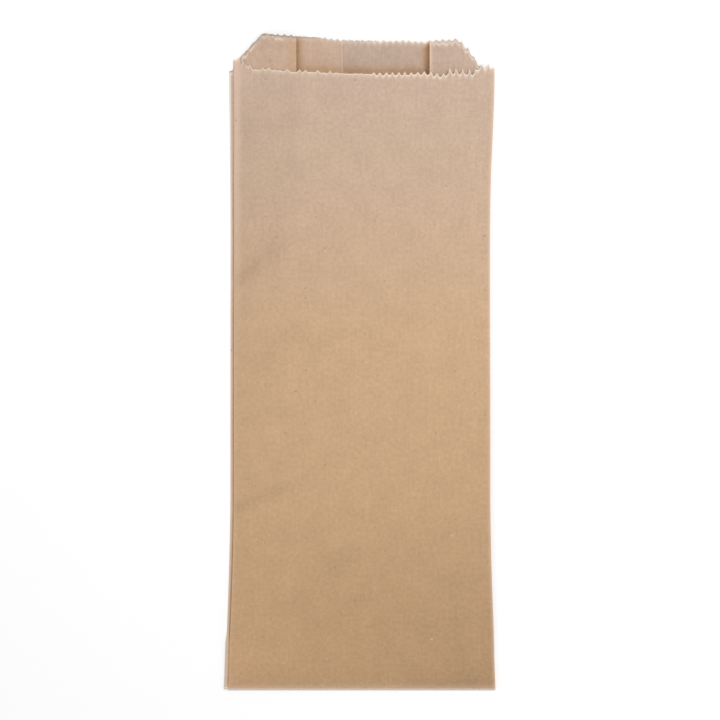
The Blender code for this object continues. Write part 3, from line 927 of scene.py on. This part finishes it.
def pulp_group():
    """Clouds, fibres, streaks and specks of unbleached pulp."""
    group, given, out = new_group("unbleached_pulp", {
        "Place": VECTOR, "Cloud Size": 0.013, "Fleck Size": 0.0021, "Streak Width": 0.0011,
        "Speck Spacing": 0.0056, "Speck Radius": 0.00056, "Hair Spacing": 0.0042,
    }, ("Tone", "Specks", "Pale Hairs", "Height"))

    def sized_noise(place, size, detail, roughness):
        return noise(place, maths("DIVIDE", 1.0, given[size]), detail, roughness)[0]

    place = given["Place"]
    clouds = sized_noise(place, "Cloud Size", 3.0, 0.55)
    flecks = sized_noise(place, "Fleck Size", 4.0, 0.62)
    drawn = vector_maths("MULTIPLY", {0: place, 1: STREAK_DRAWN})
    streaks = sized_noise(drawn, "Streak Width", 2.0, 0.5)
    tone = 0.0
    for part, share in ((clouds, CLOUD_SHARE), (flecks, FLECK_SHARE), (streaks, STREAK_SHARE)):
        tone = maths("MULTIPLY_ADD", maths("SUBTRACT", part, 0.5), share, tone)
    group.links.new(tone, out["Tone"])

    ragged = noise(place, RAGGED_GRAIN, 2.0)["Color"]
    nudged = vector_maths("MULTIPLY_ADD", {0: ragged, 1: (RAGGED_REACH,) * 3, 2: place})
    spacing = given["Speck Spacing"]
    cells = linked("ShaderNodeTexVoronoi", {"Vector": nudged, "Scale": maths("DIVIDE", 1.0, spacing)},
                   voronoi_dimensions="2D")
    chance = linked("ShaderNodeSeparateColor", {"Color": cells["Color"]})
    radius = product(given["Speck Radius"], step(chance[0], *SPECK_CHANCE))
    from_rim = maths("SUBTRACT", product(cells["Distance"], spacing), radius)
    strength = maths("MULTIPLY_ADD", chance[1], *SPECK_STRENGTH)
    group.links.new(product(step(from_rim, *SPECK_EDGE), strength), out["Specks"])

    winding = sized_noise(place, "Hair Spacing", 1.0, 0.4)
    broken = step(noise(place, HAIR_GRAIN, 2.0)[0], *HAIR_BROKEN)
    hairs = product(step(off_line(winding, 0.5), *HAIR_RIDGE), broken)
    group.links.new(hairs, out["Pale Hairs"])

    height = maths("MULTIPLY_ADD", hairs, HAIR_HEIGHT, flecks)
    group.links.new(maths("MULTIPLY_ADD", streaks, STREAK_HEIGHT, height), out["Height"])
    return group


def pale_band_group():
    """Pale band along a cut edge or fold, uneven in width: torn fibres, wear, and painted highlight on folds
    and cut edges.
    """
    group, given, out = new_group("uneven_pale_band", {
        "From Edge": 0.0, "Place": VECTOR, "Bright Width": 0.0004, "Fade Width": 0.0012,
        "Fade Strength": 0.35,
    }, ["Band"])
    uneven = maths("MULTIPLY_ADD", noise(given["Place"], PALE_BAND_GRAIN, 2.0)[0], *PALE_BAND_UNEVEN)
    distance = maths("DIVIDE", given["From Edge"], uneven)
    outer, inner = (product(given["Bright Width"], share) for share in PALE_BAND_EDGE)
    soft = product(step(distance, given["Fade Width"], 0.0), given["Fade Strength"])
    group.links.new(maths("MAXIMUM", step(distance, outer, inner), soft), out["Band"])
    return group


def pressed_line_group():
    """A step where the edge of a ply underneath has been pressed through."""
    group, given, out = new_group("pressed_through_line", {"Across": 0.0, "Line": 0.0, "Half Width": 0.0006},
                                  ["Step"])
    half_width = given["Half Width"]
    off = maths("SUBTRACT", given["Across"], given["Line"])
    group.links.new(step(off, product(half_width, -1.0), half_width), out["Step"])
    return group


def colour_mix(share, low, high, multiplied=False):
    """Two colours mixed by a share; a multiplied mix multiplies the first by the second."""
    return linked("ShaderNodeMix", {0: share, 6: low, 7: high}, data_type="RGBA",
                  blend_type="MULTIPLY" if multiplied else "MIX")[2]


def along_colour(along):
    """Kraft brown, partly painted light: darker and warmer at the bottom of the bag and paler towards its
    mouth.
    """
    colour = linked("ShaderNodeValToRGB", {"Fac": maths("DIVIDE", along, BAG_LENGTH, clamp=True)})["Color"]
    stops = colour.node.color_ramp.elements
    stops[0].position, stops[0].color = KRAFT_AND_PAINTED_LIGHT_ALONG[0]
    stops[1].position, stops[1].color = KRAFT_AND_PAINTED_LIGHT_ALONG[-1]
    for position, stop_colour in KRAFT_AND_PAINTED_LIGHT_ALONG[1:-1]:
        stops.new(position).color = stop_colour
    return colour


def new_material(name, gloss):
    """A material of a given roughness and specular level, its tree and its shader's inputs."""
    material = bpy.data.materials.new(name)
    material.use_nodes = True
    given = material.node_tree.nodes["Principled BSDF"].inputs
    given["Roughness"].default_value, given["Specular IOR Level"].default_value = gloss
    return material, material.node_tree, given


def kraft_paper(pulp, band_group, pressed):
    """Brown kraft: its tone with painted shade and light, then its worn and frayed parts, painted shade and
    painted highlights over it, then its relief.
    """
    material, tree, shader = new_material("brown_kraft_paper", KRAFT_GLOSS)
    place = attribute(tree, "on_blank", "Vector")
    along = linked("ShaderNodeSeparateXYZ", {"Vector": place})["Y"]
    across = new_node(tree, "ShaderNodeTexCoord").outputs["Object"]
    across = linked("ShaderNodeSeparateXYZ", {"Vector": across})["X"]
    fibres = use_group(pulp, {"Place": place})
    on_front, from_fold, from_slit, from_cut, past_fold = (attribute(tree, name) for name in (
        "on_front", "from_fold", "from_slit", "from_cut", "past_left_fold"))

    def pale_band(name, from_edge):
        bright, fade, strength = PALE_BANDS[name]
        return use_group(band_group, {"From Edge": from_edge, "Place": place, "Bright Width": bright,
                                  "Fade Width": fade, "Fade Strength": strength})["Band"]

    under_fold = product(step(past_fold, *STRIP_SHADE_START), step(past_fold, *STRIP_SHADE_END),
                         step(along, *STRIP_SHADE_RUN))
    tone = maths("MULTIPLY_ADD", fibres["Tone"], TONE_SWING, 1.0)
    side = product(across, step(along, *SHADED_SIDE_RUN))
    tone = maths("MULTIPLY_ADD", side, -SHADED_SIDE / HALF_WIDTH, tone)
    tone = maths("MULTIPLY_ADD", under_fold, -STRIP_SHADE, maths("SUBTRACT", tone, attribute(tree, "shade")))
    colour = vector_maths("SCALE", {0: along_colour(along), 3: tone})
    # Painted warm shade inside the bag, by the front's edge and the inner folds
    colour = colour_mix(attribute(tree, "painted_warm_shade"), colour, WARM_SHADE_COLOUR, multiplied=True)

    # Wear with a painted highlight along the folds, and a worn and lit line beside the front's left fold
    worn_and_lit_fold = product(pale_band("fold", from_fold), attribute(tree, "wear_and_highlight"), step(along, *FOLD_WEAR_AND_HIGHLIGHT_RUN))
    worn_and_lit_line = product(step(off_line(from_fold, WORN_AND_LIT_LINE), WORN_AND_LIT_LINE_HALF_WIDTH, 0.0), on_front,
                        step(across, *WORN_AND_LIT_LINE_SIDE), step(along, *WORN_AND_LIT_LINE_RUN))
    from_bottom = maths("MAXIMUM", along, product(along, UNDERSIDE_PACE))
    under_front = maths("SUBTRACT", 1.0, on_front)
    pale_share, rim_shadow_share = (maths("ADD", *(step(across, *run) for run in runs))
                             for runs in (PALE_RUNS, RIM_SHADOW_RUNS))
    patches = step(noise(place, PATCH_GRAIN, 1.0)[0], *PATCH_LIMITS)
    pale_line = pale_band("pale line", off_line(from_cut, step(across, *PALE_LINE)))
    for share, layer_colour in (
        (maths("MAXIMUM", worn_and_lit_fold, worn_and_lit_line, clamp=True), FOLD_WEAR_AND_HIGHLIGHT),
        (product(pale_band("bottom", from_bottom), BOTTOM_WEAR), BOTTOM_WORN),
        # Painted light on the back's left fold past the front's fold
        (product(step(past_fold, *LIT_STRIP_SPAN), step(along, *LIT_STRIP_RUN)), LIT_STRIP_COLOUR),
        # Painted shade in a dark line beside the seam's cut edge
        (step(off_line(from_slit, SEAM_EDGE_SHADE_LINE), *SEAM_EDGE_SHADE_SPAN), SEAM_EDGE_SHADE_COLOUR),
        # Cream of the seam's cut edge, torn fibres with a painted highlight
        (product(pale_band("slit", from_slit), SLIT_CREAM_AND_HIGHLIGHT), CREAM_FIBRE),
        (product(fibres["Pale Hairs"], HAIR_SHARE), PALE_HAIR),
        (product(fibres["Specks"], SPECK_SHARE), BARK_SPECK),
        # Cream of the mouth's cut edges, torn fibres with a painted highlight
        (product(pale_band("cut", from_cut), step(across, *CUT_CREAM_AND_HIGHLIGHT)), CREAM_FIBRE),
        (product(pale_line, patches, pale_share, under_front, PALE_LINE_SHARE), CREAM_FIBRE),
        # Painted shadow in a grey rim along the cut of the plies behind the front
        (product(step(from_cut, *RIM_SHADOW_EDGE), under_front, rim_shadow_share), RIM_SHADOW_COLOUR),
    ):
        colour = colour_mix(share, colour, layer_colour)

    shown = product(on_front, step(along, *LINE_RUN))
    inner = HALF_WIDTH - MOUTH_WAIST - GUSSET_DEPTH
    relief = product(fibres["Height"], PULP_BUMP)
    for line, strength in ((FRONT_MIDDLE - inner, 1.0), (FRONT_MIDDLE + inner, -1.0),
                           (-SEAM_OVERLAP / 2, SEAM_LINE_BUMP), (SEAM_OVERLAP / 2, -SEAM_LINE_BUMP)):
        mark = use_group(pressed, {"Across": across, "Line": line})["Step"]
        relief = maths("ADD", relief, product(mark, shown, strength * LINE_BUMP))
    bump = linked("ShaderNodeBump", {"Height": relief, "Distance": 1.0, "Strength": 1.0})["Normal"]
    tree.links.new(colour, shader["Base Color"])
    tree.links.new(bump, shader["Normal"])
    return material


def torn_fibre():
    """Cream fibres that stand out of the cut edges."""
    material, tree, shader = new_material("torn_cream_fibre", KRAFT_GLOSS)
    place = new_node(tree, "ShaderNodeTexCoord").outputs["Object"]
    colour = colour_mix(noise(place, FIBRE_GRAIN, 1.0)[0], PALE_HAIR, CREAM_FIBRE)
    tree.links.new(colour, shader["Base Color"])
    return material


def edge_guide(sheet, places):
    """The mouth's cut edge as a wire, each vertex with its way out of the sheet."""
    mesh = bpy.data.meshes.new("mouth_edge")
    mesh.from_pydata(places[-1].tolist(), [(vert - 1, vert) for vert in range(1, sheet.columns)], [])
    set_values(mesh, "way_out", unit(places[-1] - places[-1 - EDGE_ROWS]))
    return add_object("mouth_edge", mesh)


def fibre_tree():
    """Geometry nodes that stand short bent fibres along a wire, leaning out of the sheet."""
    tree, given, out = new_group("fibres_along_cut", {
        "Wire": GEOMETRY, **FIBRES, "Finish": "NodeSocketMaterial",
    }, ["Fibres"], "GeometryNodeTree", GEOMETRY)

    def scattered(limits, offset):
        chosen = {**dict(enumerate(limits)), "Seed": maths("ADD", given["Seed"], offset)}
        return linked("FunctionNodeRandomValue", chosen, data_type="FLOAT_VECTOR")[0]

    def grown(kind, inputs, **settings):
        return linked("GeometryNode" + kind, inputs, **settings)[0]

    wire = grown("MeshToCurve", {"Mesh": given["Wire"]})
    points = grown("CurveToPoints", {"Curve": wire, "Length": given["Spacing"]}, mode="LENGTH")
    named = new_node(tree, "GeometryNodeInputNamedAttribute", data_type="FLOAT_VECTOR")
    named.inputs["Name"].default_value = "way_out"
    way_out = named.outputs[0]
    astray = vector_maths("SCALE", {0: scattered(FIBRE_ASTRAY, 0), 3: given["Spread"]})
    heading = vector_maths("ADD", {0: way_out, 1: astray})
    rotation = linked("FunctionNodeAlignRotationToVector", {"Vector": heading}, axis="Z")[0]
    root = vector_maths("SCALE", {0: way_out, 3: product(given["Root"], -1.0)})
    rooted = grown("SetPosition", {"Geometry": points, "Offset": root})

    length = given["Length"]
    middle = linked("ShaderNodeCombineXYZ", {"Z": product(length, 0.5)})[0]
    end = linked("ShaderNodeCombineXYZ", {"X": product(length, given["Bend"]), "Z": length})[0]
    spine = grown("CurveQuadraticBezier", {
        "Resolution": FIBRE_STEPS, "Start": (0.0, 0.0, 0.0), "Middle": middle, "End": end})
    ring = grown("CurvePrimitiveCircle", {"Resolution": FIBRE_STEPS, "Radius": given["Radius"]})
    fibre = grown("CurveToMesh", {"Curve": spine, "Profile Curve": ring, "Fill Caps": True})
    placed = grown("InstanceOnPoints", {
        "Points": rooted, "Instance": fibre, "Rotation": rotation, "Scale": scattered(FIBRE_SIZE, 1)})
    real = grown("RealizeInstances", {"Geometry": placed})
    place = new_node(tree, "GeometryNodeInputPosition").outputs[0]
    place = linked("ShaderNodeSeparateXYZ", {"Vector": place})
    height = maths("MAXIMUM", place["Z"], given["Lowest"])
    lifted = linked("ShaderNodeCombineXYZ", {"X": place["X"], "Y": place["Y"], "Z": height})[0]
    above = grown("SetPosition", {"Geometry": real, "Position": lifted})
    finished = grown("SetMaterial", {"Geometry": above, "Material": given["Finish"]})
    tree.links.new(finished, out["Fibres"])
    return tree


def fibre_piece(guide, tree, finish):
    """The fibres as a plain mesh of their own, in place of the wire that they stand on."""
    grown = guide.modifiers.new("fibres", "NODES")
    grown.node_group = tree
    for name, value in {**FIBRES, "Finish": finish}.items():
        grown[tree.interface.items_tree[name].identifier] = value
    depsgraph = bpy.context.evaluated_depsgraph_get()
    mesh = bpy.data.meshes.new_from_object(guide.evaluated_get(depsgraph), depsgraph=depsgraph)
    bpy.data.objects.remove(guide, do_unlink=True)
    return add_object("cut_edge_fibres", mesh)


def background_rays(tree):
    """1 for the rays that see the white background, straight or by gloss or glass."""
    rays = new_node(tree, "ShaderNodeLightPath").outputs
    seen = maths("MAXIMUM", rays["Is Camera Ray"], rays["Is Glossy Ray"])
    return maths("MAXIMUM", seen, rays["Is Transmission Ray"])


def white_table():
    """Pale table top: white to the camera away from the bag's own soft shadow."""
    material, tree, shader = new_material("white_table", TABLE_GLOSS)
    shader["Base Color"].default_value = TABLE_COLOUR
    shader["Emission Color"].default_value = WHITE
    tree.links.new(product(background_rays(tree), TABLE_GLOW), shader["Emission Strength"])
    return material


def add_table():
    half = TABLE_SIDE / 2
    mesh = bpy.data.meshes.new("table_top")
    mesh.from_pydata([(-half, -half, 0.0), (half, -half, 0.0), (half, half, 0.0), (-half, half, 0.0)],
                     [], [(0, 1, 2, 3)])
    mesh.materials.append(white_table())
    table = add_object("table_top", mesh)


def add_world():
    world = bpy.data.worlds.new("pale_room")
    bpy.context.scene.world = world
    world.use_nodes = True
    tree = world.node_tree
    backdrop = tree.nodes["Background"].inputs
    backdrop["Color"].default_value = WHITE
    strength = maths("MULTIPLY_ADD", background_rays(tree), 1.0 - WORLD_LIGHT, WORLD_LIGHT)
    tree.links.new(strength, backdrop["Strength"])


def add_softbox():
    """A square lamp that faces the middle of the table."""
    light = bpy.data.lights.new("overhead_softbox", "AREA")
    light.shape = "SQUARE"
    light.size = SOFTBOX_SIDE
    light.energy = SOFTBOX_WATTS
    lamp = add_object("overhead_softbox", light)
    lamp.location = SOFTBOX_PLACE
    lamp.rotation_euler = (-Vector(SOFTBOX_PLACE)).to_track_quat("-Z", "Y").to_euler()


def add_camera():
    """Straight down on the lying bag, framed as the photograph frames it."""
    lens = bpy.data.cameras.new("camera")
    lens.sensor_width = SENSOR_MM
    lens.lens = SENSOR_MM * (CAMERA_HEIGHT - MEASURED_HEIGHT) / (IMAGE_SIDE * METRES_PER_PIXEL)
    camera = add_object("camera", lens)
    centre = bag_place(CAMERA_PX)
    camera.location = (centre[0], BOTTOM_FOLD_Y + centre[1], CAMERA_HEIGHT)
    bpy.context.scene.camera = camera


sheet = Sheet()
places = sheet.places.copy()
scatter_tips(sheet, places)
loosen(sheet, places)
places[:, :, 1] += BOTTOM_FOLD_Y
bag = build_bag(sheet, places)
bag.data.materials.append(kraft_paper(pulp_group(), pale_band_group(), pressed_line_group()))
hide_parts("paper_bag")
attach(bag, "root")

fibres = fibre_piece(edge_guide(sheet, places), fibre_tree(), torn_fibre())
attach(fibres, "root")

add_table()
add_world()
add_softbox()
add_camera()
bpy.context.scene.view_settings.view_transform = "Standard"
